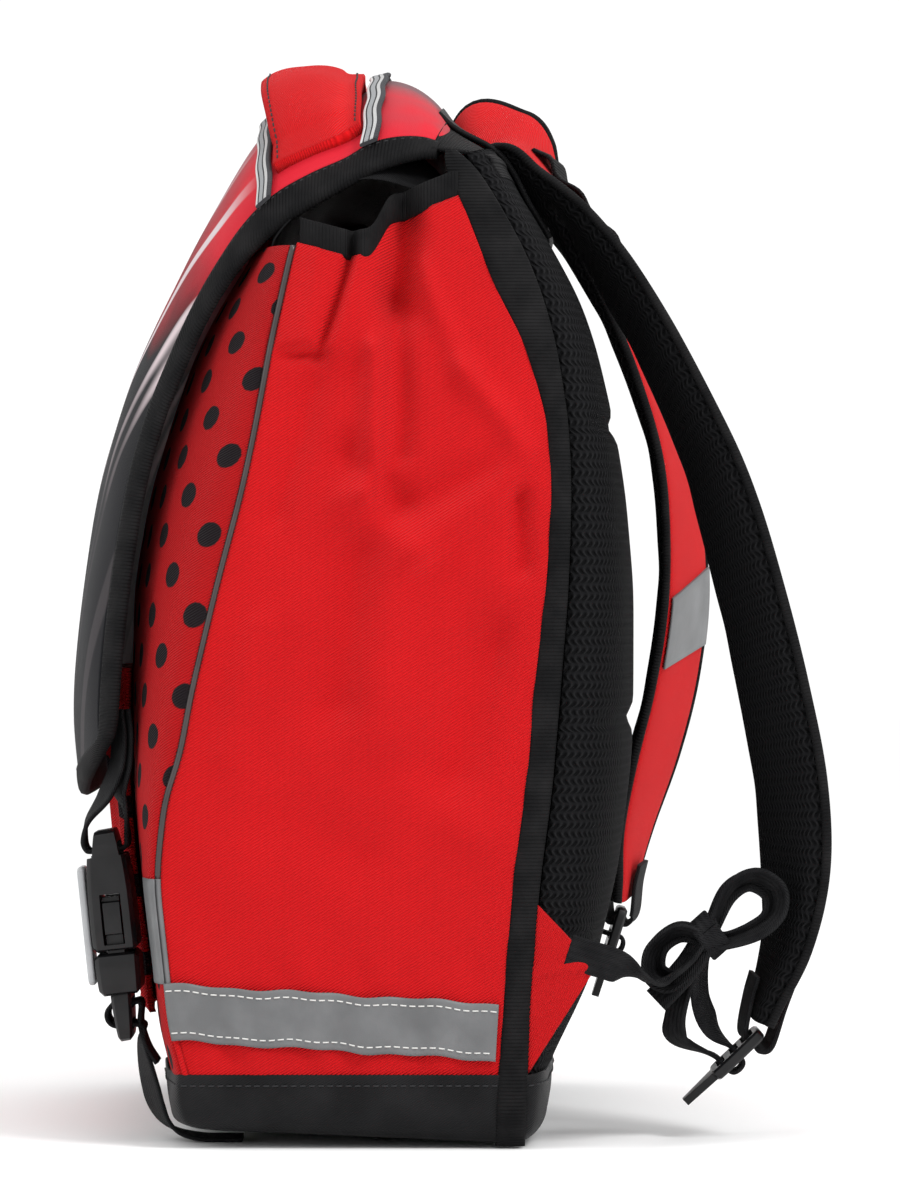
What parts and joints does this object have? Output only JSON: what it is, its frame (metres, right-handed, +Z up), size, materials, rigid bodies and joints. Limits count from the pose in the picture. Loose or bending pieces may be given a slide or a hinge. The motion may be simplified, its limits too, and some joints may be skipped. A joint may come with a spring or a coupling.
{
  "type": "school ransel",
  "caption": "Upright school ransel with a long front flap on side-release buckles, side gussets, a base tray, a carry handle and two padded shoulder straps.",
  "frame": {"origin": "middle of the base's flat underside", "axes": "+Z up, -Y towards the flap, +Y towards the wearer's back, +X the wearer's right"},
  "size_m": [0.2867, 0.2725, 0.3888],
  "materials": {
    "dotted_twill": "red twill with black dots",
    "red_twill": "red twill",
    "flap_print": "coated cloth, red to charcoal with a plain geometric print",
    "charcoal_coated": "coated cloth",
    "black_mesh": "padded air mesh",
    "black_grosgrain": "ribbed tape",
    "black_webbing": "woven webbing",
    "striped_tape": "woven tape striped grey, white and black",
    "reflective_tape": "grey reflective tape",
    "black_plastic": "moulded",
    "reflector_plastic": "reflective plastic"
  },
  "bodies": {
    "root": {"front_panel": "dotted_twill", "front_pocket": "dotted_twill", "base_tray": "charcoal_coated", "back_panel": "black_mesh", "back_yoke": "charcoal_coated", "flap": "flap_print", "flap_binding": "black_grosgrain", "flap_tape_front": "striped_tape", "flap_tape_rear": "striped_tape", "handle": "red_twill", "front_reflector_right": "reflective_tape", "front_reflector_left": "reflective_tape", "corner_piping_right": "black_grosgrain", "corner_piping_left": "black_grosgrain", "side_panel_right": "red_twill", "side_panel_left": "red_twill", "mouth_binding_right": "black_grosgrain", "mouth_binding_left": "black_grosgrain", "side_reflector_right": "reflective_tape", "side_reflector_left": "reflective_tape", "back_binding_right": "black_grosgrain", "back_binding_left": "black_grosgrain", "strap_pad_right": "black_mesh", "strap_pad_left": "black_mesh", "strap_facing_right": "red_twill", "strap_facing_left": "red_twill", "anchor_tab_right": "red_twill", "anchor_tab_left": "red_twill", "ladder_lock_right": "black_plastic", "ladder_lock_left": "black_plastic", "strap_loop_right": "black_webbing", "strap_loop_left": "black_webbing", "adjust_webbing_right": "black_webbing", "adjust_webbing_left": "black_webbing", "buckle_female_right": "black_plastic", "buckle_female_left": "black_plastic", "buckle_male_right": "black_plastic", "buckle_male_left": "black_plastic", "buckle_reflector_right": "reflector_plastic", "buckle_reflector_left": "reflector_plastic", "flap_webbing_right": "black_webbing", "flap_webbing_left": "black_webbing", "base_webbing_right": "black_webbing", "base_webbing_left": "black_webbing"}
  },
  "joints": []
}
